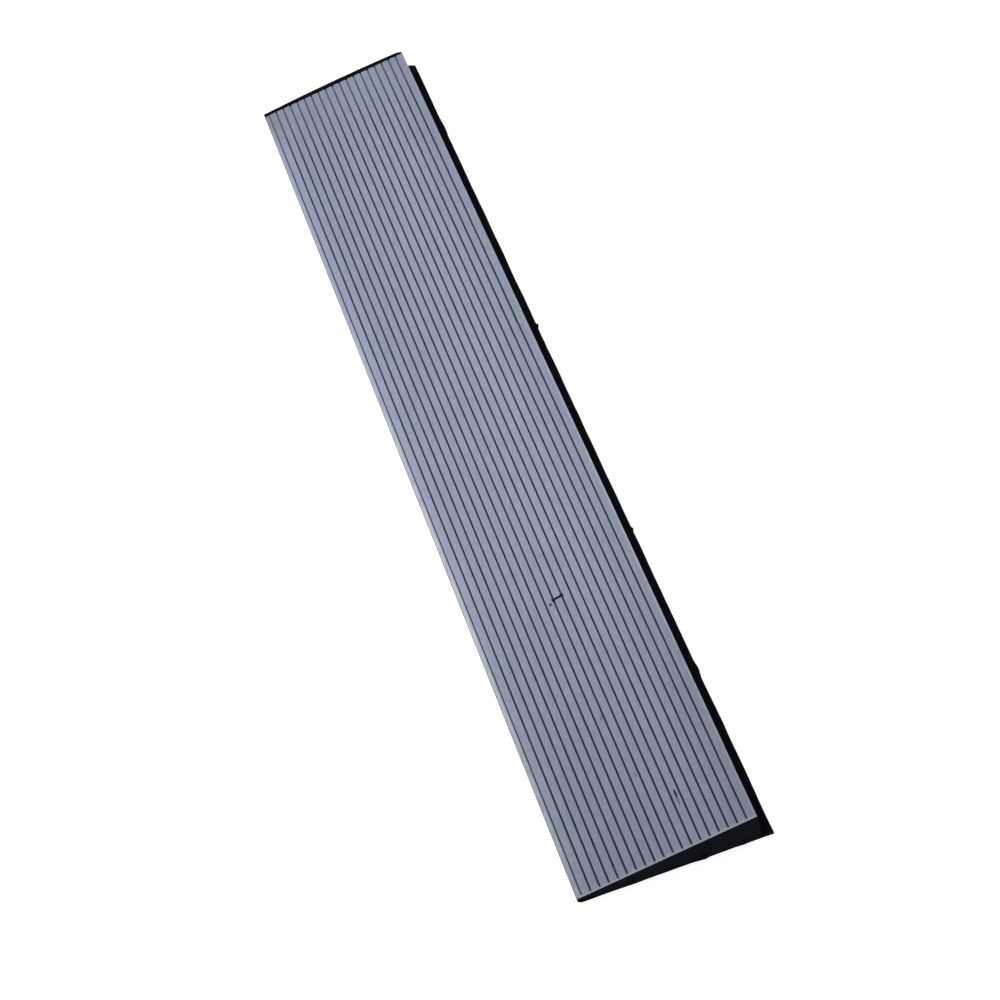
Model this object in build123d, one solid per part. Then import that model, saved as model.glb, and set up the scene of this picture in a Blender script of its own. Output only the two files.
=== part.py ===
"""Threshold wedge ramp: a ribbed aluminium tread plate bonded to a solid rubber wedge on a thin rubber mat.

Units are millimetres. X runs along the ramp, +Y points to the high back edge and +Z is up. The origin is
on the floor, in the middle of the footprint. One STEP file is written for each separate piece.
"""
from build123d import *

import os
from math import atan2, cos, degrees, hypot, radians, sin

# Overall size
LENGTH = 900.0
DEPTH = 120.0
HEIGHT = 20.0

# Rubber mat that the wedge stands on. It stands out behind the plate as a low ledge.
MAT_THICKNESS = 2.5
LEDGE_DEPTH = 7.0
GRIP_GROOVE_COUNT = 12
GRIP_GROOVE_PITCH = 8.0
GRIP_GROOVE_WIDTH = 2.5
GRIP_GROOVE_DEPTH = 0.8
GRIP_END_MARGIN = 12.0

# Rubber wedge between the mat and the plate
WEDGE_FRONT_HEIGHT = 1.0

# Tread plate. One end is flush with the rubber, and at the other end the rubber stands out.
PLATE_THICKNESS = 2.5
RUBBER_PAST_PLATE = 9.5
NOSE_RADIUS = 2.2
BACK_EDGE_RADIUS = 0.4
GROOVE_COUNT = 19
GROOVE_PITCH = 5.8
FIRST_GROOVE = 3.6
GROOVE_MOUTH = 1.2
GROOVE_FLOOR = 0.8
GROOVE_DEPTH = 1.0
RIB_EDGE_CHAMFER = 0.15
FIRST_GROOVE_SCALE = 0.6

# Double-sided bonding tape, let into recesses of the rubber wedge
TAPE_WIDTH = 20.0
TAPE_THICKNESS = 0.5
TAPE_END_MARGIN = 20.0
TAPE_BACK_MARGIN = 8.0
TREAD_TAPE_FRONT_MARGIN = 15.0
MAT_TAPE_FRONT_MARGIN = 30.0

# Derived places
X_FAR = -LENGTH / 2
X_NEAR = LENGTH / 2
Y_FRONT = -DEPTH / 2
Y_BACK = DEPTH / 2
Y_WEDGE_BACK = Y_BACK - LEDGE_DEPTH
WEDGE_DEPTH = Y_WEDGE_BACK - Y_FRONT
Z_SLOPE_FRONT = MAT_THICKNESS + WEDGE_FRONT_HEIGHT


def slope_rise():
    """Rise of the wedge's top from front to back, so that the plate's back corner is at HEIGHT."""
    rise = HEIGHT - Z_SLOPE_FRONT - PLATE_THICKNESS
    for _ in range(8):
        slope = atan2(rise, WEDGE_DEPTH)
        rise = HEIGHT - Z_SLOPE_FRONT - PLATE_THICKNESS * cos(slope)
    return rise


SLOPE_RISE = slope_rise()
SLOPE_ANGLE = degrees(atan2(SLOPE_RISE, WEDGE_DEPTH))
SLOPE_LENGTH = hypot(SLOPE_RISE, WEDGE_DEPTH)
PLATE_LENGTH = LENGTH - RUBBER_PAST_PLATE
TAPE_LENGTH = PLATE_LENGTH - 2 * TAPE_END_MARGIN
PLATE_MIDDLE = X_NEAR - PLATE_LENGTH / 2


def slope_plane(x):
    """Section plane of the slope at x: local X runs up the slope and local Y stands off it."""
    up_slope = (0, cos(radians(SLOPE_ANGLE)), sin(radians(SLOPE_ANGLE)))
    return Plane(origin=(x, Y_FRONT, Z_SLOPE_FRONT), x_dir=up_slope, z_dir=(1, 0, 0))


def upright_plane(x):
    """Section plane at x: local X is the part's Y and local Y is the part's Z."""
    return Plane(origin=(x, 0, 0), x_dir=(0, 1, 0), z_dir=(1, 0, 0))


def groove_section(index):
    """Section of one tread groove with a chamfered mouth. The first, beside the nose, is a finer one."""
    scale = FIRST_GROOVE_SCALE if index == 0 else 1.0
    mouth = GROOVE_MOUTH * scale / 2
    floor = GROOVE_FLOOR * scale / 2
    chamfered = mouth + RIB_EDGE_CHAMFER
    top = PLATE_THICKNESS
    half = [
        (chamfered, top + 1),
        (chamfered, top),
        (mouth, top - RIB_EDGE_CHAMFER),
        (floor, top - GROOVE_DEPTH * scale),
    ]
    mirrored = [(-across, height) for across, height in reversed(half)]
    section = make_face(Polyline(*half, *mirrored, close=True))
    return Pos(FIRST_GROOVE + index * GROOVE_PITCH, 0) * section


def tread_section():
    """Section of the plate: a slab with a rounded nose, an eased back corner and lengthwise grooves."""
    nose_lean = PLATE_THICKNESS * sin(radians(SLOPE_ANGLE))
    slab_width = SLOPE_LENGTH - nose_lean / 2
    slab = Pos(nose_lean / 2, 0) * Rectangle(slab_width, PLATE_THICKNESS, align=(Align.MIN, Align.MIN))
    top_corners = slab.vertices().group_by(Axis.Y)[-1].sort_by(Axis.X)
    slab = fillet(top_corners[0], NOSE_RADIUS)
    back_corner = slab.vertices().group_by(Axis.Y)[-1].sort_by(Axis.X)[-1]
    slab = fillet(back_corner, BACK_EDGE_RADIUS)
    for index in range(GROOVE_COUNT):
        slab -= groove_section(index)
    return slab


def tread_plate():
    """Ribbed plate, lying on the slope with one end flush with the near end of the rubber."""
    return extrude(slope_plane(X_NEAR - PLATE_LENGTH) * tread_section(), amount=PLATE_LENGTH)


def slope_tape(middle):
    """Bonding strip let into the slope, with its middle this far up the slope."""
    start = PLATE_MIDDLE - TAPE_LENGTH / 2
    section = Pos(middle, 0) * Rectangle(TAPE_WIDTH, TAPE_THICKNESS, align=(Align.CENTER, Align.MAX))
    return extrude(slope_plane(start) * section, amount=TAPE_LENGTH)


def mat_tape(y_middle):
    """Bonding strip let into the underside of the rubber wedge, on top of the mat."""
    start = PLATE_MIDDLE - TAPE_LENGTH / 2
    section = Rectangle(TAPE_WIDTH, TAPE_THICKNESS, align=(Align.CENTER, Align.MIN))
    return extrude(upright_plane(start) * Pos(y_middle, MAT_THICKNESS) * section, amount=TAPE_LENGTH)


def tapes():
    """All bonding strips by name."""
    front_on_slope = TREAD_TAPE_FRONT_MARGIN + TAPE_WIDTH / 2
    back_on_slope = SLOPE_LENGTH - TAPE_BACK_MARGIN - TAPE_WIDTH / 2
    return {
        "tread_tape_front": slope_tape(front_on_slope),
        "tread_tape_middle": slope_tape((front_on_slope + back_on_slope) / 2),
        "tread_tape_back": slope_tape(back_on_slope),
        "mat_tape_front": mat_tape(Y_FRONT + MAT_TAPE_FRONT_MARGIN + TAPE_WIDTH / 2),
        "mat_tape_back": mat_tape(Y_WEDGE_BACK - TAPE_BACK_MARGIN - TAPE_WIDTH / 2),
    }


def wedge_core(strips):
    """Solid rubber wedge with a recess for each bonding strip."""
    outline = Polyline(
        (Y_FRONT, MAT_THICKNESS),
        (Y_WEDGE_BACK, MAT_THICKNESS),
        (Y_WEDGE_BACK, Z_SLOPE_FRONT + SLOPE_RISE),
        (Y_FRONT, Z_SLOPE_FRONT),
        close=True,
    )
    wedge = extrude(upright_plane(X_FAR) * make_face(outline), amount=LENGTH)
    for strip in strips:
        wedge -= strip
    return wedge


def grip_groove(y_middle):
    """Blind groove with round ends in the underside of the mat."""
    slot = SlotOverall(LENGTH - 2 * GRIP_END_MARGIN, GRIP_GROOVE_WIDTH)
    return extrude(Pos(0, y_middle, 0) * slot, amount=GRIP_GROOVE_DEPTH)


def base_mat():
    """Rubber mat over the whole footprint, with blind grip grooves in its underside."""
    mat = Box(LENGTH, DEPTH, MAT_THICKNESS, align=(Align.CENTER, Align.CENTER, Align.MIN))
    y_first = -GRIP_GROOVE_PITCH * (GRIP_GROOVE_COUNT - 1) / 2
    for index in range(GRIP_GROOVE_COUNT):
        mat -= grip_groove(y_first + index * GRIP_GROOVE_PITCH)
    return mat


def main():
    strips = tapes()
    pieces = {
        "tread_plate": tread_plate(),
        "wedge_core": wedge_core(strips.values()),
        "base_mat": base_mat(),
        **strips,
    }
    os.makedirs("parts", exist_ok=True)
    for name, shape in pieces.items():
        export_step(shape, f"parts/{name}.step")


main()
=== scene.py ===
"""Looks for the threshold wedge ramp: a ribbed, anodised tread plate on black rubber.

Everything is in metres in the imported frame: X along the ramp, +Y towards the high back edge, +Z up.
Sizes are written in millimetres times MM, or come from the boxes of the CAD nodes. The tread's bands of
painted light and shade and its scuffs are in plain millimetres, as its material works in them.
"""

import math

import bmesh
import bpy
from mathutils import Matrix, Vector, noise


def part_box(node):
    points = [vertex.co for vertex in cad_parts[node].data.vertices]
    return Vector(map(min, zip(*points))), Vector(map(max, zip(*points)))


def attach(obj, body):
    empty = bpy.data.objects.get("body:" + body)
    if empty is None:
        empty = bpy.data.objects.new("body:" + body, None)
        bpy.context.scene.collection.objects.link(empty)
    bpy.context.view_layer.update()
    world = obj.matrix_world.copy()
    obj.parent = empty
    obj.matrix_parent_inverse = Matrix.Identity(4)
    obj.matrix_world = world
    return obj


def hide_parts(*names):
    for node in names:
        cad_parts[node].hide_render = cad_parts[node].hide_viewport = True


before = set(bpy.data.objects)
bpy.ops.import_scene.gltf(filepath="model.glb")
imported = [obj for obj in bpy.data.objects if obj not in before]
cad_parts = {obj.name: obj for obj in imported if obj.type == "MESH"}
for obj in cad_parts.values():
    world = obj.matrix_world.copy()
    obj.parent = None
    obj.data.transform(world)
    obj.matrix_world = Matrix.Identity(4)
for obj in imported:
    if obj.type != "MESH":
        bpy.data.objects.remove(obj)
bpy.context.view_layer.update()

MM = 0.001

# ---------------------------------------------------------------- places, from the frame
plate_low, plate_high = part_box("tread_plate")
core_low, core_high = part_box("wedge_core")
mat_low, mat_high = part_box("base_mat")

WEDGE_FRONT_HEIGHT = 1.0 * MM
TAPE_THICKNESS = 0.5 * MM
SLOPE_FOOT = Vector((0, core_low.y, core_low.z + WEDGE_FRONT_HEIGHT))
SLOPE_RISE = core_high.z - SLOPE_FOOT.z
SLOPE_RUN = core_high.y - core_low.y
SLOPE_ANGLE = math.atan2(SLOPE_RISE, SLOPE_RUN)
SLOPE_LENGTH = math.hypot(SLOPE_RISE, SLOPE_RUN)

# ---------------------------------------------------------------- meshes
WELD_DISTANCE = 0.0005 * MM
SHARP_ANGLE = math.radians(35)

# ---------------------------------------------------------------- tread plate
PLATE_THICKNESS = 2.5 * MM
NOSE_RADIUS = 2.2 * MM
BACK_EDGE_RADIUS = 0.4 * MM
UNDER_EDGE_RADIUS = 0.15 * MM
GROOVE_COUNT = 19
GROOVE_PITCH = 5.8 * MM
FIRST_GROOVE = 3.6 * MM
GROOVE_MOUTH = 1.2 * MM
GROOVE_FLOOR = 0.8 * MM
GROOVE_DEPTH = 1.0 * MM
FIRST_GROOVE_SCALE = 0.6
GROOVE_CORNER = 0.12 * MM
RIB_EDGE_RADIUS = 0.15 * MM
# Share of the grooves' painted shade and grime that reaches onto the rounded rib edges
RIB_EDGE_SHADE_AND_GRIME = 0.85
RIB_EDGE_WEAR = 0.45
RIB_CROWN = 0.03 * MM
WEAR_BAND = 0.35 * MM
PLATE_STEP = 6.0 * MM
CUT_BEVEL = 0.12 * MM
END_WEAR = 0.8
END_WEAR_REACH = 1.2 * MM
UNDER_EDGE_WEAR = 0.6
BARE_BACK_STRIP = 2.0 * MM
UNDERSIDE_STEP = 10.0 * MM
GROOVE_WANDER = 0.05 * MM
GROOVE_WANDER_LENGTH = 55.0 * MM
STRAIGHT_AT_FRONT = 4.0 * MM
STRAIGHT_AT_BACK = 3.0 * MM

# Nicks in the plate's back edge: place along X, half length, depth
NICKS = (
    (300 * MM, 3.5 * MM, 0.8 * MM),
    (280 * MM, 3.0 * MM, 0.6 * MM),
    (-89 * MM, 4.0 * MM, 0.4 * MM),
    (60 * MM, 2.5 * MM, 0.25 * MM),
    (-310 * MM, 3.5 * MM, 0.3 * MM),
)
NICK_REACH = 1.2 * MM
NICK_DROP = 0.6
NICK_STATIONS = (-1.6, -0.8, -0.4, 0, 0.4, 0.8, 1.6)

# Tone of the plate before its textures are added
BASE_TONE = 0.305
# The tone changes over bands up the slope and along X, painting light and shade into the colour: start and
# end of the change in millimetres, then the factor before it and the factor after it
# Painted light up the slope: a painted highlight at the nose and about 80 mm up, painted shade towards the
# back edge
PAINTED_LIGHT_UP = (
    (36.0, 78.0, 0.98, 1.06),
    (86.0, 104.0, 1.0, 0.91),
    (8.0, 15.0, 1.1, 1.0),
)
# Painted shade along X: darker towards both ends, most at the near end
PAINTED_LIGHT_ALONG = (
    (150.0, 450.0, 1.0, 0.78),
    (-450.0, -300.0, 0.95, 1.0),
)
# Where most people walk, in millimetres along X
TRAFFIC_MIDDLE = 150.0
TRAFFIC_REACH = 380.0
TRAFFIC_LEAST = 0.25
# Painted shade and grime in the grooves: its share along X, in a band as above, and its least share where
# little has gathered
GROOVE_SHADE_AND_GRIME_ALONG = (-445.0, -370.0, 0.45, 1.0)
LEAST_GROOVE_SHADE_AND_GRIME = 0.86
# Grey patch rubbed at the far front corner: where it fades up the slope and along X, in millimetres
RUBBED_UP = (16.0, 3.0)
RUBBED_ALONG = (-370.0, -440.0)
RUBBED_SHARE = 0.7

# ---------------------------------------------------------------- rubber
RUBBER_STEP = 4.0 * MM
RUBBER_CELL = 3.0 * MM
RECESS_END_STEP = 0.002 * MM
END_STATION_STEPS = (1.0 * MM, 2.0 * MM)
MAT_CELL = 1.4 * MM
LAND_STEPS = 4
OUTER_LAND_STEPS = 10
RUBBER_EDGE_RADIUS = 0.35 * MM
RUBBER_UNEVEN = 0.15 * MM
WEDGE_END_GRAIN = 7.0 * MM
WEDGE_BACK_GRAIN = 11.0 * MM
MAT_EDGE_GRAIN = 9.0 * MM
BACK_WAVE = 0.35 * MM
BACK_WAVE_LENGTH = 38 * MM
WEDGE_END_REACH = 6.0 * MM
FAR_END_BOW = 1.6 * MM
FAR_CORNER_CUT = 2.0 * MM
FAR_CORNER_REACH = 5.0 * MM
MAT_END_REACH = 4.0 * MM
MAT_BACK_REACH = 3.0 * MM
MAT_CORNER_REACH = 2.5 * MM
FRONT_CORNER_ROUND = 1.6 * MM
BACK_CORNER_ROUND = 1.2 * MM
LEDGE_END_CUT = 3.5 * MM
LEDGE_END_REACH = 8.0 * MM
FABRIC_IMPRINT = 0.06 * MM
GRIP_GROOVE_COUNT = 12
GRIP_GROOVE_PITCH = 8.0 * MM
GRIP_GROOVE_WIDTH = 2.5 * MM
GRIP_GROOVE_DEPTH = 0.8 * MM
GRIP_END_MARGIN = 12.0 * MM
GRIP_END_STATIONS = (0, 0.4, 0.7, 0.9, 0.99, 1.0)

# Tags of rubber left on the mat's cut back edge: place along X, half length, how far they stand out
BACK_TAGS = (
    (-86 * MM, 3.0 * MM, 1.4 * MM),
    (152 * MM, 2.4 * MM, 1.1 * MM),
    (297 * MM, 9.0 * MM, 1.0 * MM),
    (-354 * MM, 14.0 * MM, 0.6 * MM),
)
TAG_SHARPNESS = 1.3
# The same on its near end: place along Y, half length, how far they stand out
NEAR_TAGS = (
    (18 * MM, 2.8 * MM, 0.85 * MM),
    (41 * MM, 3.0 * MM, 0.4 * MM),
    (-27 * MM, 6.0 * MM, 0.25 * MM),
)

# ---------------------------------------------------------------- colours
BLUE_GREY = (0.268, 0.308, 0.419, 1)
VIOLET_GREY = (0.292, 0.303, 0.428, 1)
STREAK_TINT = (0.270, 0.310, 0.417, 1)
WORN_METAL = (0.56, 0.57, 0.64, 1)
RUBBED_GREY = (0.233, 0.231, 0.267, 1)
# Groove colour: painted shade in the recesses, mixed with grime
GROOVE_SHADE_AND_GRIME = (0.032, 0.039, 0.082, 1)
SCUFF_BLACK = (0.005, 0.006, 0.020, 1)
CUT_METAL_DARK = (0.24, 0.26, 0.31, 1)
CUT_METAL_PALE = (0.30, 0.325, 0.38, 1)
RUBBER_DARK = (0.0014, 0.0017, 0.0040, 1)
RUBBER_PALE = (0.0042, 0.0050, 0.0092, 1)
RUBBER_DUST = (0.028, 0.028, 0.034, 1)
DUST_SHARE = 0.5
TAPE_DARK = (0.032, 0.032, 0.034, 1)
TAPE_PALE = (0.05, 0.05, 0.053, 1)
FLOOR_DARK = (0.45, 0.45, 0.453, 1)
FLOOR_PALE = (0.47, 0.47, 0.473, 1)
WHITE = (1, 1, 1, 1)

# ---------------------------------------------------------------- camera
CAMERA_PLACE = Vector((2.0522, -0.1433, 1.5908))
CAMERA_AZIMUTH = math.radians(3.86)
CAMERA_ELEVATION = math.radians(38.79)
CAMERA_ROLL = math.radians(16.98)
FOCAL_LENGTH = 140.8
SENSOR_WIDTH = 36.0

# ---------------------------------------------------------------- studio
FLOOR_GLOW = 0.85
FLOOR_ROUGHNESS = 0.9
FLOOR_STEPS = 64
# Rings of the floor: radius and height in metres
FLOOR_RINGS = ((3.0, 0.0), (4.0, 0.05), (4.6, 0.3))
# Soft square lights: name, place, target, size, power in watts, colour
LIGHTS = (
    ("key", (-0.22, -0.35, 0.8), (-0.1, 0, 0), 0.6, 4.4, (1.0, 0.995, 0.98)),
    ("glow", (-1.45, -0.2, 1.05), (0, 0, 0), 0.8, 2.1, (0.97, 0.98, 1.0)),
    ("fill", (0.9, 1.1, 1.4), (0.3, 0, 0), 1.6, 2.5, (0.95, 0.97, 1.0)),
)
SURROUND_COLOR = (0.96, 0.97, 1.0, 1)
SURROUND_STRENGTH = 0.38


# ================================================================ mesh building
def bump_sum(place, bumps):
    """Sum of rounded bumps (centre, half length, height) at a place."""
    total = 0.0
    for centre, half_length, height in bumps:
        total += height * math.exp(-(((place - centre) / half_length) ** 2))
    return total


def fade(distance, reach):
    """1 at no distance, falling straight to 0 at the reach and beyond."""
    return max(0.0, 1.0 - distance / reach)


def tag_sum(place, tags):
    """Sum of pointed tags (centre, half length, height) at a place."""
    total = 0.0
    for centre, half_length, height in tags:
        total += height * fade(abs(place - centre), half_length) ** TAG_SHARPNESS
    return total


def uneven(x, y, z, scale, seed):
    """Smooth noise from -1 to 1 with features of about this scale. The seed picks the pattern."""
    return noise.noise(Vector((x / scale + seed, y / scale - seed, z / scale)))


def arc(centre_a, centre_b, radius, start, end, steps):
    """Points of an arc, from one angle to another in degrees, both ends included."""
    points = []
    for i in range(steps + 1):
        angle = math.radians(start + (end - start) * i / steps)
        points.append((centre_a + radius * math.cos(angle), centre_b + radius * math.sin(angle)))
    return points


def divided(start, end, count):
    """Evenly spaced values from start to end, both included, in this many steps."""
    return [start + (end - start) * i / count for i in range(count + 1)]


def spaced(start, end, step):
    """Evenly spaced values from start to end, both included, at most a step apart."""
    return divided(start, end, max(1, math.ceil(abs(end - start) / step)))


def end_stations(start, end):
    """Extra stations just inside both ends, where a cut face is uneven."""
    stations = []
    for step in END_STATION_STEPS:
        stations += [start + step, end - step]
    return stations


def loft(name, stations, section_at, place, marks=()):
    """Closed solid through the sections at the stations along X.

    section_at(x) gives a row of points (a, b, mark, mark, ...), place(x, a, b) puts a point in the frame.
    The marks become float attributes of these names. The two end caps get material slot 1.
    """
    rows = [section_at(x) for x in stations]
    width = len(rows[0])
    points = []
    for x, row in zip(stations, rows):
        points += [place(x, point[0], point[1]) for point in row]
    faces = []
    for i in range(len(rows) - 1):
        for j in range(width):
            k = (j + 1) % width
            low, high = i * width, (i + 1) * width
            faces.append((low + j, low + k, high + k, high + j))
    last = (len(rows) - 1) * width
    caps = [tuple(range(width - 1, -1, -1)), tuple(range(last, last + width))]
    mesh = bpy.data.meshes.new(name)
    mesh.from_pydata(points, [], faces + caps)
    for face in list(mesh.polygons)[-2:]:
        face.material_index = 1
    for index, mark in enumerate(marks):
        values = [point[2 + index] for row in rows for point in row]
        mesh.attributes.new(mark, "FLOAT", "POINT").data.foreach_set("value", values)
    bm = bmesh.new()
    bm.from_mesh(mesh)
    bmesh.ops.remove_doubles(bm, verts=bm.verts, dist=WELD_DISTANCE)
    bmesh.ops.dissolve_degenerate(bm, dist=WELD_DISTANCE, edges=bm.edges)
    bmesh.ops.recalc_face_normals(bm, faces=bm.faces)
    bm.to_mesh(mesh)
    bm.free()
    mesh.polygons.foreach_set("use_smooth", [True] * len(mesh.polygons))
    mesh.set_sharp_from_angle(angle=SHARP_ANGLE)
    piece = bpy.data.objects.new(name, mesh)
    bpy.context.scene.collection.objects.link(piece)
    return piece


# ================================================================ tread plate
def rib_edge(centre, left):
    """Rounded edge of a rib, worn on top and darkened towards the groove by painted shade and grime:
    points (a, b, groove, wear).
    """
    angles = (90, 0) if left else (180, 90)
    marked = []
    for a, b in arc(centre, PLATE_THICKNESS - RIB_EDGE_RADIUS, RIB_EDGE_RADIUS, *angles, 3):
        drop = (PLATE_THICKNESS - b) / RIB_EDGE_RADIUS
        marked.append((a, b, RIB_EDGE_SHADE_AND_GRIME * drop, RIB_EDGE_WEAR * (1.0 - drop)))
    return marked


def groove_points(index):
    """One groove of the plate with the rounded rib edges on both its sides."""
    scale = FIRST_GROOVE_SCALE if index == 0 else 1.0
    centre = FIRST_GROOVE + index * GROOVE_PITCH
    mouth = GROOVE_MOUTH * scale / 2
    floor = GROOVE_FLOOR * scale / 2
    low = PLATE_THICKNESS - GROOVE_DEPTH * scale
    shoulder = mouth + RIB_EDGE_RADIUS
    inner = GROOVE_CORNER * scale
    wall_top = mouth - (mouth - floor) / 6
    wall_top_height = PLATE_THICKNESS - RIB_EDGE_RADIUS - inner
    points = [(centre - shoulder - WEAR_BAND, PLATE_THICKNESS, 0.0, 0.0)]
    points += rib_edge(centre - shoulder, True)
    points += [
        (centre - wall_top, wall_top_height, 1.0, 0.0),
        (centre - floor, low + inner, 1.0, 0.0),
        (centre - floor + inner, low, 1.0, 0.0),
        (centre + floor - inner, low, 1.0, 0.0),
        (centre + floor, low + inner, 1.0, 0.0),
        (centre + wall_top, wall_top_height, 1.0, 0.0),
    ]
    points += rib_edge(centre + shoulder, False)
    points.append((centre + shoulder + WEAR_BAND, PLATE_THICKNESS, 0.0, 0.0))
    return points


def plate_outline():
    """Section of the plate up the slope (a) and off it (b), with wear marks and groove marks for painted
    shade and grime.
    """
    lean = PLATE_THICKNESS * math.sin(SLOPE_ANGLE) / 2
    points = []
    for a, b in arc(lean + UNDER_EDGE_RADIUS, UNDER_EDGE_RADIUS, UNDER_EDGE_RADIUS, 270, 180, 2):
        points.append((a, b, 0.0, UNDER_EDGE_WEAR))
    nose = arc(lean + NOSE_RADIUS, PLATE_THICKNESS - NOSE_RADIUS, NOSE_RADIUS, 180, 90, 12)
    for a, b in nose:
        points.append((a, b, 0.0, 1.0))
    for index in range(GROOVE_COUNT):
        points += groove_points(index)
        if index + 1 < GROOVE_COUNT:
            middle = FIRST_GROOVE + (index + 0.5) * GROOVE_PITCH
            points.append((middle, PLATE_THICKNESS + RIB_CROWN, 0.0, 0.0))
    points.append((SLOPE_LENGTH - BARE_BACK_STRIP, PLATE_THICKNESS + RIB_CROWN / 2, 0.0, 0.0))
    points.append((SLOPE_LENGTH - BARE_BACK_STRIP / 2, PLATE_THICKNESS, 0.0, 0.2))
    back_a = SLOPE_LENGTH - BACK_EDGE_RADIUS
    back_b = PLATE_THICKNESS - BACK_EDGE_RADIUS
    for a, b in arc(back_a, back_b, BACK_EDGE_RADIUS, 90, 0, 4):
        points.append((a, b, 0.0, 1.0))
    points.append((SLOPE_LENGTH, PLATE_THICKNESS / 2, 0.0, 0.1))
    under_a = SLOPE_LENGTH - UNDER_EDGE_RADIUS
    for a, b in arc(under_a, UNDER_EDGE_RADIUS, UNDER_EDGE_RADIUS, 0, -90, 2):
        points.append((a, b, 0.0, UNDER_EDGE_WEAR))
    for a in spaced(SLOPE_LENGTH - BARE_BACK_STRIP, BARE_BACK_STRIP, UNDERSIDE_STEP):
        points.append((a, 0.0, 0.0, 0.0))
    return points


def inset(outline, distance):
    """The outline moved inwards, for the eased edge of a cut end."""
    moved = []
    for i, point in enumerate(outline):
        before, after = outline[i - 1], outline[(i + 1) % len(outline)]
        along = Vector((after[0] - before[0], after[1] - before[1]))
        along.normalize()
        moved.append((point[0] + along.y * distance, point[1] - along.x * distance, *point[2:]))
    return moved


def on_slope(x, a, b):
    """Point of the frame that is this far up the slope and off it."""
    y = SLOPE_FOOT.y + a * math.cos(SLOPE_ANGLE) - b * math.sin(SLOPE_ANGLE)
    z = SLOPE_FOOT.z + a * math.sin(SLOPE_ANGLE) + b * math.cos(SLOPE_ANGLE)
    return Vector((x, y, z))


def place_plate(x, a, b):
    """The plate's point with the small faults of a real one: wandering grooves and a nicked back edge."""
    top = max(0.0, min(1.0, (b - PLATE_THICKNESS / 2) / (PLATE_THICKNESS / 2)))
    inside = min(1.0, a / STRAIGHT_AT_FRONT, (SLOPE_LENGTH - a) / STRAIGHT_AT_BACK)
    a += GROOVE_WANDER * top * inside * uneven(x, a * 8, 0, GROOVE_WANDER_LENGTH, 3.1)
    nick = fade(SLOPE_LENGTH - a, NICK_REACH) * top * bump_sum(x, NICKS)
    a -= nick
    b -= nick * NICK_DROP
    return on_slope(x, a, b)


def make_tread_plate():
    """Ribbed plate: the outline carried along X, with eased saw-cut ends whose edges are worn bare."""
    outline = plate_outline()
    worn = [(a, b, groove, max(wear, END_WEAR)) for a, b, groove, wear in outline]
    eased = inset(worn, CUT_BEVEL)
    ends = (plate_low.x, plate_high.x)
    stations = [ends[0], ends[0] + CUT_BEVEL]
    stations += spaced(ends[0] + END_WEAR_REACH, ends[1] - END_WEAR_REACH, PLATE_STEP)
    stations.append(ends[1] - CUT_BEVEL)
    for middle, half_length, _ in NICKS:
        stations += [middle + half_length * share for share in NICK_STATIONS]
    stations.append(ends[1])
    stations = sorted(set(round(x, 6) for x in stations))

    def section_at(x):
        if x in (stations[0], stations[-1]):
            return eased
        return worn if x in (stations[1], stations[-2]) else outline

    plate = loft("tread_plate_ribbed", stations, section_at, place_plate, ("groove", "wear"))
    for face in plate.data.polygons:
        if min(face.center.x - ends[0], ends[1] - face.center.x) < CUT_BEVEL:
            face.material_index = 1
    return plate


# ================================================================ rubber wedge
def tape_box(name, x):
    """Lowest and highest corner of a tape, and whether it is there at this x."""
    low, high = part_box(name)
    return low, high, low.x < x < high.x


def wedge_outline(x):
    """Section of the wedge, with recesses where the tapes lie."""
    radius = RUBBER_EDGE_RADIUS
    points = []
    flat = core_low.z
    recesses = []
    for name in ("mat_tape_front", "mat_tape_back"):
        low, high, there = tape_box(name, x)
        recesses.append((low.y, high.y, high.z - low.z if there else 0.0))
    start = core_low.y
    for low_y, high_y, depth in recesses:
        points += [(y, flat) for y in spaced(start, low_y, RUBBER_CELL)]
        points += [(y, flat + depth) for y in spaced(low_y, high_y, RUBBER_CELL)]
        start = high_y
    points += [(y, flat) for y in spaced(start, core_high.y - radius, RUBBER_CELL)]
    points += arc(core_high.y - radius, flat + radius, radius, -60, 0, 2)
    top = core_high.z - radius * 1.2
    points += [(core_high.y, z) for z in spaced(flat + 2 * radius, top, RUBBER_CELL)]
    slope = []
    spot = SLOPE_LENGTH - radius
    for name in ("tread_tape_back", "tread_tape_middle", "tread_tape_front"):
        low, high, there = tape_box(name, x)
        width = (high.y - low.y) / math.cos(SLOPE_ANGLE) - TAPE_THICKNESS * math.tan(SLOPE_ANGLE)
        far = (high.y - SLOPE_FOOT.y) / math.cos(SLOPE_ANGLE)
        depth = TAPE_THICKNESS if there else 0.0
        slope += [(a, 0.0) for a in spaced(spot, far, RUBBER_CELL)]
        slope += [(a, -depth) for a in spaced(far, far - width, RUBBER_CELL)]
        spot = far - width
    slope += [(a, 0.0) for a in spaced(spot, 0.0, RUBBER_CELL)]
    for a, b in slope:
        spot_on_slope = on_slope(x, a, b)
        points.append((spot_on_slope.y, spot_on_slope.z))
    return points


def place_wedge(x, y, z):
    """The wedge's point with uneven cut faces, a bowed far end and a cut far corner."""
    share = (y - (core_low.y + core_high.y) / 2) / (SLOPE_RUN / 2)
    far = fade(x - core_low.x, WEDGE_END_REACH)
    near = fade(core_high.x - x, WEDGE_END_REACH)
    corner = fade(core_high.y - y, FAR_CORNER_REACH)
    rough = RUBBER_UNEVEN * uneven(x, y, z, WEDGE_END_GRAIN, 1.7)
    x += far * (FAR_END_BOW * share ** 2 + FAR_CORNER_CUT * corner ** 2 + rough)
    x -= near * abs(rough)
    if y > core_high.y - 0.01 * MM:
        y -= abs(RUBBER_UNEVEN * uneven(x, z * 4, 0, WEDGE_BACK_GRAIN, 5.2))
    return Vector((x, y, z))


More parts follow.
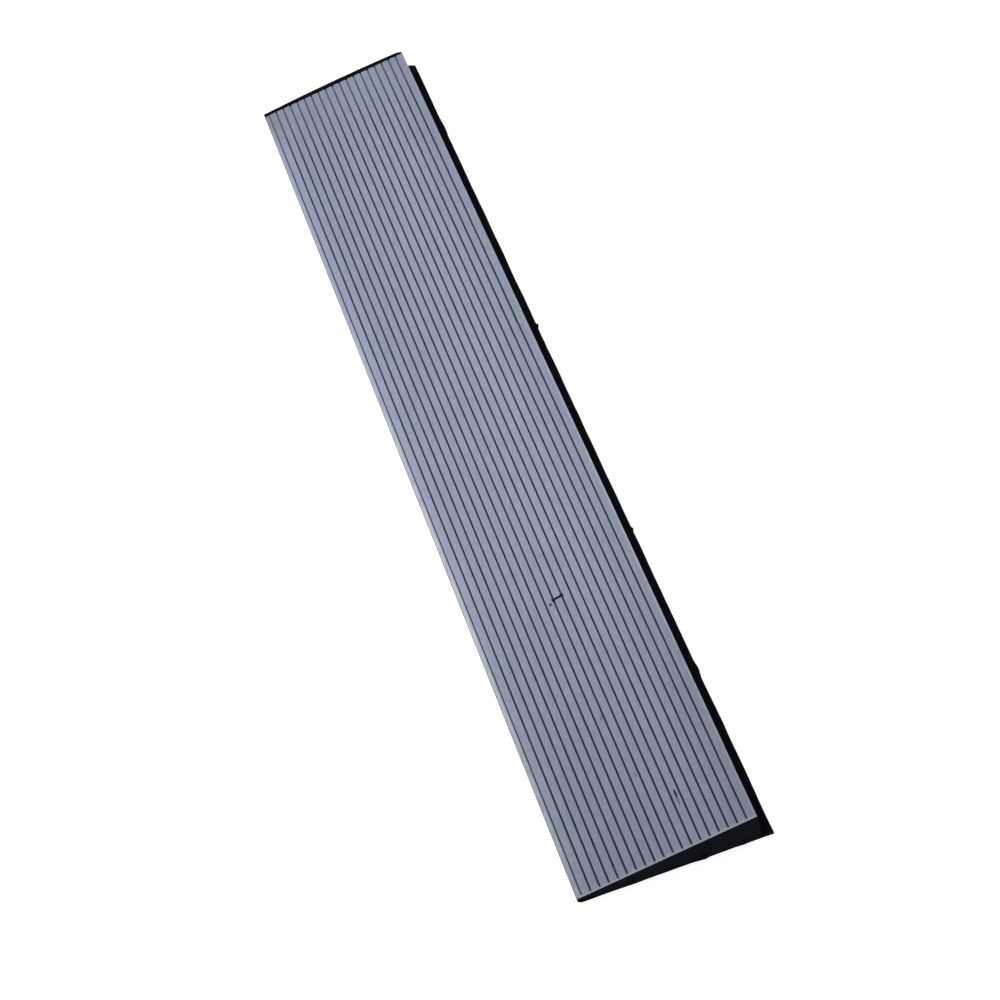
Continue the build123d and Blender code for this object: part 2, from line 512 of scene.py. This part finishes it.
def make_wedge():
    """Rubber wedge: its section carried along X, with steps where the tape recesses begin and end."""
    tape_low, tape_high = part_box("tread_tape_front")
    stations = spaced(core_low.x, core_high.x, RUBBER_STEP)
    stations += end_stations(core_low.x, core_high.x)
    for tape_end in (tape_low.x, tape_high.x):
        stations += [tape_end - RECESS_END_STEP, tape_end + RECESS_END_STEP]
    return loft("wedge_core_rubber", sorted(set(stations)), wedge_outline, place_wedge)


# ================================================================ rubber mat
def grip_shape(x):
    """Half width and depth of the grip grooves at x. Their ends are round."""
    radius = GRIP_GROOVE_WIDTH / 2
    end = (mat_high.x - mat_low.x) / 2 - GRIP_END_MARGIN
    past_centre = abs(x) - (end - radius)
    if past_centre >= radius:
        return radius * 0.3, 0.0
    if past_centre <= 0:
        return radius, GRIP_GROOVE_DEPTH
    return math.sqrt(radius ** 2 - past_centre ** 2), GRIP_GROOVE_DEPTH


def mat_outline(x):
    """Section of the mat, with the grip grooves in its underside."""
    radius = RUBBER_EDGE_RADIUS
    half, depth = grip_shape(x)
    points = [(y, mat_high.z) for y in spaced(mat_high.y - radius, mat_low.y + radius, MAT_CELL)]
    points += arc(mat_low.y + radius, mat_high.z - radius, radius, 90, 180, 3)[1:]
    points += arc(mat_low.y + radius, mat_low.z + radius, radius, 180, 270, 3)
    first = -GRIP_GROOVE_PITCH * (GRIP_GROOVE_COUNT - 1) / 2
    land_start = mat_low.y + radius
    for index in range(GRIP_GROOVE_COUNT):
        middle = first + index * GRIP_GROOVE_PITCH
        ease = min(half * 0.4, 0.3 * MM)
        land = divided(land_start, middle - half, OUTER_LAND_STEPS if index == 0 else LAND_STEPS)
        points += [(y, mat_low.z) for y in land[1:]]
        points += [
            (middle - half + ease * 0.3, mat_low.z + depth * 0.7),
            (middle - half + ease, mat_low.z + depth),
            (middle, mat_low.z + depth),
            (middle + half - ease, mat_low.z + depth),
            (middle + half - ease * 0.3, mat_low.z + depth * 0.7),
            (middle + half, mat_low.z),
        ]
        land_start = middle + half
    land = divided(land_start, mat_high.y - radius, OUTER_LAND_STEPS)
    points += [(y, mat_low.z) for y in land[1:-1]]
    points += arc(mat_high.y - radius, mat_low.z + radius, radius, 270, 360, 3)
    points += arc(mat_high.y - radius, mat_high.z - radius, radius, 0, 90, 3)[:-1]
    return points


def place_mat(x, y, z):
    """The mat's point with its hand-cut back edge and ends."""
    near = fade(mat_high.x - x, MAT_END_REACH)
    far = fade(x - mat_low.x, MAT_END_REACH)
    back = fade(mat_high.y - y, MAT_BACK_REACH)
    height = 0.5 + 0.5 * z / mat_high.z
    rough = RUBBER_UNEVEN * uneven(x, y, z, MAT_EDGE_GRAIN, 8.4)
    wave = BACK_WAVE * uneven(x, 0, 0, BACK_WAVE_LENGTH, 2.6)
    y += back * (tag_sum(x, BACK_TAGS) * height + rough + wave)
    back_corner = fade(mat_high.y - y, MAT_CORNER_REACH)
    front_corner = fade(y - mat_low.y, MAT_CORNER_REACH)
    x += near * (tag_sum(y, NEAR_TAGS) + rough - FRONT_CORNER_ROUND * front_corner ** 2)
    x += far * (rough + BACK_CORNER_ROUND * back_corner ** 2)
    ledge = max(0.0, (y - core_high.y) / (mat_high.y - core_high.y))
    x += LEDGE_END_CUT * ledge * fade(x - mat_low.x, LEDGE_END_REACH)
    return Vector((x, y, z))


def make_mat():
    """Rubber mat: its section carried along X, with closer steps at the tags and at the grooves' ends."""
    stations = spaced(mat_low.x, mat_high.x, RUBBER_STEP)
    for centre, half_length, _ in BACK_TAGS:
        stations += spaced(centre - half_length, centre + half_length, half_length / 4)
    end = (mat_high.x - mat_low.x) / 2 - GRIP_END_MARGIN
    radius = GRIP_GROOVE_WIDTH / 2
    for side in (-1, 1):
        stations += [side * (end - radius + radius * share) for share in GRIP_END_STATIONS]
    stations += end_stations(mat_low.x, mat_high.x)
    stations = sorted(set(round(x, 7) for x in stations))
    return loft("base_mat_rubber", stations, mat_outline, place_mat)


# ================================================================ materials
# Places of the colour sockets on a Mix node, whose sockets share their names
MIX_COLOR_A = 6
MIX_COLOR_B = 7
MIX_COLOR_RESULT = 2


class Shader:
    """A small builder for one material's nodes."""

    def __init__(self, name):
        self.material = bpy.data.materials.new(name)
        self.material.use_nodes = True
        self.tree = self.material.node_tree
        self.principled = self.tree.nodes["Principled BSDF"]
        self.object_coordinates = self.node("ShaderNodeTexCoord").outputs["Object"]

    def node(self, kind, **settings):
        """Adds a node of this kind with these settings."""
        made = self.tree.nodes.new(kind)
        for key, value in settings.items():
            setattr(made, key, value)
        return made

    def plug(self, value, socket):
        """Links an output to the socket, or sets a plain value on it."""
        if isinstance(value, bpy.types.NodeSocket):
            self.tree.links.new(value, socket)
        else:
            socket.default_value = value

    def math(self, operation, a, b=0.0, clamp=False):
        """Output of a Math node."""
        made = self.node("ShaderNodeMath", operation=operation, use_clamp=clamp)
        self.plug(a, made.inputs[0])
        self.plug(b, made.inputs[1])
        return made.outputs[0]

    def ramp(self, value, low, high):
        """0 below low, 1 above high and smooth between. With low above high it falls instead."""
        made = self.node("ShaderNodeMapRange", interpolation_type="SMOOTHSTEP")
        self.plug(value, made.inputs["Value"])
        made.inputs["From Min"].default_value = min(low, high)
        made.inputs["From Max"].default_value = max(low, high)
        made.inputs["To Min"].default_value = 0.0 if low < high else 1.0
        made.inputs["To Max"].default_value = 1.0 if low < high else 0.0
        return made.outputs["Result"]

    def between(self, value, start, end, first, last):
        """Straight change from first, where the value is start or less, to last, at end or more."""
        made = self.node("ShaderNodeMapRange")
        self.plug(value, made.inputs["Value"])
        made.inputs["From Min"].default_value = start
        made.inputs["From Max"].default_value = end
        made.inputs["To Min"].default_value = first
        made.inputs["To Max"].default_value = last
        return made.outputs["Result"]

    def blend(self, share, a, b, mode="MIX"):
        """Colour a with this share of colour b mixed in."""
        made = self.node("ShaderNodeMix", data_type="RGBA", blend_type=mode)
        self.plug(share, made.inputs["Factor"])
        self.plug(a, made.inputs[MIX_COLOR_A])
        self.plug(b, made.inputs[MIX_COLOR_B])
        return made.outputs[MIX_COLOR_RESULT]

    def stretched(self, x, y, z):
        """Object coordinates times these numbers, per metre."""
        made = self.node("ShaderNodeMapping")
        self.plug(self.object_coordinates, made.inputs["Vector"])
        made.inputs["Scale"].default_value = (x, y, z)
        return made.outputs["Vector"]

    def noise(self, coordinates, detail=3.0, roughness=0.55):
        """Noise from 0 to 1 with features of about one unit."""
        made = self.node("ShaderNodeTexNoise")
        self.plug(coordinates, made.inputs["Vector"])
        made.inputs["Scale"].default_value = 1.0
        made.inputs["Detail"].default_value = detail
        made.inputs["Roughness"].default_value = roughness
        return made.outputs["Fac"]

    def cells(self, coordinates):
        """Distance to the middle of a random cell of about one unit."""
        made = self.node("ShaderNodeTexVoronoi")
        self.plug(coordinates, made.inputs["Vector"])
        made.inputs["Scale"].default_value = 1.0
        return made.outputs["Distance"]

    def attribute(self, name):
        """Value of one of the mesh's marks."""
        return self.node("ShaderNodeAttribute", attribute_name=name).outputs["Fac"]

    def bump(self, height, distance, strength, normal=None):
        """Normal of this relief, laid over another normal if one is given."""
        made = self.node("ShaderNodeBump")
        self.plug(height, made.inputs["Height"])
        made.inputs["Distance"].default_value = distance
        made.inputs["Strength"].default_value = strength
        if normal is not None:
            self.plug(normal, made.inputs["Normal"])
        return made.outputs["Normal"]

    def finish(self, color, roughness, normal, **constants):
        """Plugs in the results and sets constants straight on the shader."""
        self.plug(color, self.principled.inputs["Base Color"])
        self.plug(roughness, self.principled.inputs["Roughness"])
        self.plug(normal, self.principled.inputs["Normal"])
        for key, value in constants.items():
            self.principled.inputs[key.replace("_", " ")].default_value = value
        return self.material


def slope_coordinates(shader):
    """Millimetres along X and up the slope, as two outputs."""
    made = shader.node("ShaderNodeSeparateXYZ")
    shader.plug(shader.object_coordinates, made.inputs["Vector"])
    x, y, z = made.outputs
    along = shader.math("DIVIDE", x, MM)
    up_y = shader.math("MULTIPLY", shader.math("SUBTRACT", y, SLOPE_FOOT.y), math.cos(SLOPE_ANGLE) / MM)
    up_z = shader.math("MULTIPLY", shader.math("SUBTRACT", z, SLOPE_FOOT.z), math.sin(SLOPE_ANGLE) / MM)
    return along, shader.math("ADD", up_y, up_z)


def spot_mask(shader, along, up, centre, half, softness=0.2):
    """1 inside an ellipse (centre and half axes in millimetres) and 0 outside, with a soft edge."""
    across_x = shader.math("DIVIDE", shader.math("SUBTRACT", along, centre[0]), half[0])
    across_s = shader.math("DIVIDE", shader.math("SUBTRACT", up, centre[1]), half[1])
    squares = shader.math("ADD", shader.math("POWER", across_x, 2), shader.math("POWER", across_s, 2))
    return shader.ramp(squares, 1 + softness, 1 - softness)


def groove_place(index):
    """Distance up the slope of a groove's middle, in millimetres."""
    return (FIRST_GROOVE + index * GROOVE_PITCH) / MM


def scuff_marks(shader, along, up):
    """Dark scuffs on the tread: a bar across one rib with a dot at each end, and a few strokes."""
    marks = (
        ((204.0, groove_place(9.5)), (1.15, 3.4), 1.0),
        ((204.4, groove_place(9)), (2.0, 1.2), 1.0),
        ((203.4, groove_place(10)), (2.0, 1.2), 1.0),
        ((207.5, groove_place(8.5)), (1.3, 1.3), 0.75),
        ((407.0, groove_place(12.55)), (4.0, 0.6), 1.0),
        ((412.5, groove_place(12.52)), (5.0, 0.5), 0.55),
        ((321.0, groove_place(8.75)), (2.4, 1.2), 0.3),
        ((379.0, groove_place(9.6)), (2.0, 0.7), 0.3),
        ((-80.0, groove_place(17.9)), (9.0, 0.5), 0.5),
    )
    total = None
    for centre, half, strength in marks:
        mask = shader.math("MULTIPLY", spot_mask(shader, along, up, centre, half), strength)
        total = mask if total is None else shader.math("MAXIMUM", total, mask)
    return total


def foot_traffic(shader, along):
    """How much people walk here: most around TRAFFIC_MIDDLE, least at the ramp's ends."""
    distance = shader.math("ABSOLUTE", shader.math("SUBTRACT", along, TRAFFIC_MIDDLE))
    busy = shader.ramp(distance, TRAFFIC_REACH, 0.0)
    return shader.math("ADD", shader.math("MULTIPLY", busy, 1.0 - TRAFFIC_LEAST), TRAFFIC_LEAST)


def anodised_tread():
    """Matt blue-grey anodised extrusion: die lines, mottled tint, worn edges, grooves darkened by painted
    shade and grime, scuffs, and bands of painted light and shade.
    """
    shader = Shader("anodised_tread")
    along, up = slope_coordinates(shader)
    groove = shader.attribute("groove")
    wear = shader.attribute("wear")
    patches = shader.noise(shader.stretched(16, 45, 45), detail=2)
    streaks = shader.noise(shader.stretched(70, 240, 240), detail=3)
    tint = shader.blend(shader.ramp(patches, 0.38, 0.62), BLUE_GREY, VIOLET_GREY)
    tint = shader.blend(shader.ramp(streaks, 0.40, 0.60), tint, STREAK_TINT)
    die_lines = shader.noise(shader.stretched(6, 2600, 2600), detail=2)
    grain = shader.noise(shader.stretched(900, 900, 900), detail=4, roughness=0.7)
    smudges = shader.noise(shader.stretched(35, 80, 80), detail=4, roughness=0.65)
    specks = shader.noise(shader.stretched(260, 420, 420), detail=3, roughness=0.7)
    light = BASE_TONE
    for texture, share in ((die_lines, 0.22), (grain, 0.50), (smudges, 0.24), (specks, 0.55)):
        light = shader.math("ADD", light, shader.math("MULTIPLY", texture, share))
    # Painted light and shade: the bands lighten and darken the tone where the studio light falls
    for band in PAINTED_LIGHT_UP:
        light = shader.math("MULTIPLY", light, shader.between(up, *band))
    for band in PAINTED_LIGHT_ALONG:
        light = shader.math("MULTIPLY", light, shader.between(along, *band))
    grey = shader.node("ShaderNodeCombineColor")
    for socket in grey.inputs[:3]:
        shader.plug(light, socket)
    color = shader.blend(1.0, tint, grey.outputs[0], "MULTIPLY")
    chips = shader.noise(shader.stretched(60, 500, 500))
    worn = shader.math("MULTIPLY", wear, shader.ramp(chips, 0.2, 0.6))
    worn = shader.math("MULTIPLY", worn, foot_traffic(shader, along))
    color = shader.blend(worn, color, WORN_METAL)
    rubbed = shader.math("MULTIPLY", shader.ramp(up, *RUBBED_UP), shader.ramp(along, *RUBBED_ALONG))
    color = shader.blend(shader.math("MULTIPLY", rubbed, RUBBED_SHARE), color, RUBBED_GREY)
    # Darker grooves: painted shade in the recesses together with grime, less of it at the far end
    groove_shade_and_grime = shader.math("MULTIPLY", groove, shader.between(along, *GROOVE_SHADE_AND_GRIME_ALONG))
    gathered = shader.noise(shader.stretched(45, 420, 420), detail=2)
    groove_shade_and_grime = shader.math("MULTIPLY", groove_shade_and_grime, shader.between(gathered, 0.35, 0.60, LEAST_GROOVE_SHADE_AND_GRIME, 1.0))
    color = shader.blend(groove_shade_and_grime, color, GROOVE_SHADE_AND_GRIME)
    scuffs = scuff_marks(shader, along, up)
    color = shader.blend(scuffs, color, SCUFF_BLACK)
    roughness = shader.math("ADD", shader.math("MULTIPLY", die_lines, 0.16), 0.48)
    dull = shader.math("MAXIMUM", scuffs, shader.math("MULTIPLY", groove, 0.6))
    roughness = shader.math("ADD", roughness, shader.math("MULTIPLY", dull, 0.4), clamp=True)
    fine = shader.bump(grain, 0.03 * MM, 0.5)
    normal = shader.bump(die_lines, 0.02 * MM, 0.6, fine)
    return shader.finish(color, roughness, normal, Metallic=0.2)


def cut_aluminium():
    """Saw-cut end of the plate: paler bare metal with fine cutting lines."""
    shader = Shader("cut_aluminium")
    lines = shader.noise(shader.stretched(300, 400, 9000), detail=2)
    blotches = shader.noise(shader.stretched(400, 400, 400), detail=3)
    color = shader.blend(blotches, CUT_METAL_DARK, CUT_METAL_PALE)
    roughness = shader.math("ADD", shader.math("MULTIPLY", lines, 0.2), 0.35)
    normal = shader.bump(lines, 0.03 * MM, 0.7)
    return shader.finish(color, roughness, normal, Metallic=0.7)


def black_rubber(name, imprint):
    """Black rubber with fine crumb texture. Imprint is the depth of a fabric print from the press."""
    shader = Shader(name)
    crumbs = shader.cells(shader.stretched(900, 900, 900))
    fine = shader.noise(shader.stretched(2500, 2500, 2500), detail=3)
    clouds = shader.noise(shader.stretched(45, 45, 45), detail=4)
    color = shader.blend(crumbs, RUBBER_DARK, RUBBER_PALE)
    dusty = shader.math("MULTIPLY", shader.ramp(clouds, 0.55, 0.8), shader.ramp(fine, 0.45, 0.7))
    color = shader.blend(shader.math("MULTIPLY", dusty, DUST_SHARE), color, RUBBER_DUST)
    roughness = shader.math("ADD", shader.math("MULTIPLY", fine, 0.2), 0.68)
    normal = shader.bump(crumbs, 0.12 * MM, 0.6)
    normal = shader.bump(fine, 0.05 * MM, 0.6, normal)
    if imprint:
        weave = shader.node("ShaderNodeTexBrick", offset=0.5)
        shader.plug(shader.stretched(1000, 1000, 1000), weave.inputs["Vector"])
        weave.inputs["Scale"].default_value = 1.0
        weave.inputs["Mortar Size"].default_value = 0.12
        weave.inputs["Mortar Smooth"].default_value = 1.0
        weave.inputs["Brick Width"].default_value = 1.2
        weave.inputs["Row Height"].default_value = 0.6
        normal = shader.bump(weave.outputs["Fac"], imprint, 0.5, normal)
    return shader.finish(color, roughness, normal, Specular_IOR_Level=0.06)


def foam_tape():
    """Grey acrylic foam tape, faintly cellular."""
    shader = Shader("foam_tape")
    cells = shader.cells(shader.stretched(1800, 1800, 1800))
    clouds = shader.noise(shader.stretched(60, 60, 60))
    color = shader.blend(clouds, TAPE_DARK, TAPE_PALE)
    roughness = shader.math("ADD", shader.math("MULTIPLY", cells, 0.25), 0.55)
    return shader.finish(color, roughness, shader.bump(cells, 0.05 * MM, 0.5))


def pale_floor():
    """Plain, nearly white studio floor."""
    shader = Shader("pale_floor")
    mottle = shader.noise(shader.stretched(3, 3, 3))
    color = shader.blend(mottle, FLOOR_DARK, FLOOR_PALE)
    return shader.finish(
        color,
        FLOOR_ROUGHNESS,
        shader.bump(mottle, 0.1 * MM, 0.1),
        Specular_IOR_Level=0.1,
        Emission_Color=WHITE,
        Emission_Strength=FLOOR_GLOW,
    )


# ================================================================ stage
def make_floor():
    """A round floor with a softly raised rim far outside the view."""
    bm = bmesh.new()
    rows = []
    for radius, height in FLOOR_RINGS:
        row = []
        for i in range(FLOOR_STEPS):
            angle = 2 * math.pi * i / FLOOR_STEPS
            row.append(bm.verts.new((radius * math.cos(angle), radius * math.sin(angle), height)))
        rows.append(row)
    bm.faces.new(rows[0])
    for inner, outer in zip(rows, rows[1:]):
        for i in range(FLOOR_STEPS):
            k = (i + 1) % FLOOR_STEPS
            bm.faces.new((inner[i], inner[k], outer[k], outer[i]))
    bmesh.ops.recalc_face_normals(bm, faces=bm.faces)
    mesh = bpy.data.meshes.new("floor")
    bm.to_mesh(mesh)
    bm.free()
    floor = bpy.data.objects.new("floor", mesh)
    bpy.context.scene.collection.objects.link(floor)
    mesh.materials.append(pale_floor())


def area_light(name, place, target, size, power, color):
    """Square soft light that points at a target."""
    data = bpy.data.lights.new(name, "AREA")
    data.size = size
    data.energy = power
    data.color = color
    light = bpy.data.objects.new(name, data)
    light.location = place
    light.rotation_mode = "QUATERNION"
    light.rotation_quaternion = (Vector(target) - Vector(place)).to_track_quat("-Z", "Y")
    bpy.context.scene.collection.objects.link(light)


def make_lights():
    """A soft key over the ramp, a glow from past its far end, a fill from behind and a pale surround."""
    for settings in LIGHTS:
        area_light(*settings)
    world = bpy.data.worlds.new("surround")
    world.use_nodes = True
    background = world.node_tree.nodes["Background"]
    background.inputs["Color"].default_value = SURROUND_COLOR
    background.inputs["Strength"].default_value = SURROUND_STRENGTH
    bpy.context.scene.world = world


def make_camera():
    """Camera at the near end, looking down the ramp and rolled so that it leans across the picture."""
    forward = Vector((
        -math.cos(CAMERA_AZIMUTH) * math.cos(CAMERA_ELEVATION),
        math.sin(CAMERA_AZIMUTH) * math.cos(CAMERA_ELEVATION),
        -math.sin(CAMERA_ELEVATION),
    ))
    level_right = forward.cross(Vector((0, 0, 1))).normalized()
    level_up = level_right.cross(forward)
    right = level_right * math.cos(CAMERA_ROLL) - level_up * math.sin(CAMERA_ROLL)
    up = level_up * math.cos(CAMERA_ROLL) + level_right * math.sin(CAMERA_ROLL)
    data = bpy.data.cameras.new("camera")
    data.lens = FOCAL_LENGTH
    data.sensor_width = SENSOR_WIDTH
    camera = bpy.data.objects.new("camera", data)
    turn = Matrix((right, up, -forward)).transposed()
    camera.matrix_world = Matrix.Translation(CAMERA_PLACE) @ turn.to_4x4()
    bpy.context.scene.collection.objects.link(camera)
    bpy.context.scene.camera = camera


# ================================================================ assembly
def fit_piece(piece, node, materials):
    """Gives a piece its materials, hangs it under the root body and hides the CAD node that it stands for.
    """
    for material in materials:
        piece.data.materials.append(material)
    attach(piece, "root")
    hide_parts(node)


def main():
    make_camera()
    make_floor()
    make_lights()
    core = black_rubber("core_rubber", 0.0)
    sheet = black_rubber("mat_rubber", FABRIC_IMPRINT)
    fit_piece(make_tread_plate(), "tread_plate", [anodised_tread(), cut_aluminium()])
    fit_piece(make_wedge(), "wedge_core", [core, core])
    fit_piece(make_mat(), "base_mat", [sheet, sheet])
    tape = foam_tape()
    for name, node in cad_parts.items():
        if "tape" in name:
            for slot in node.material_slots:
                slot.material = tape
    bpy.context.scene.view_settings.view_transform = "Standard"


main()
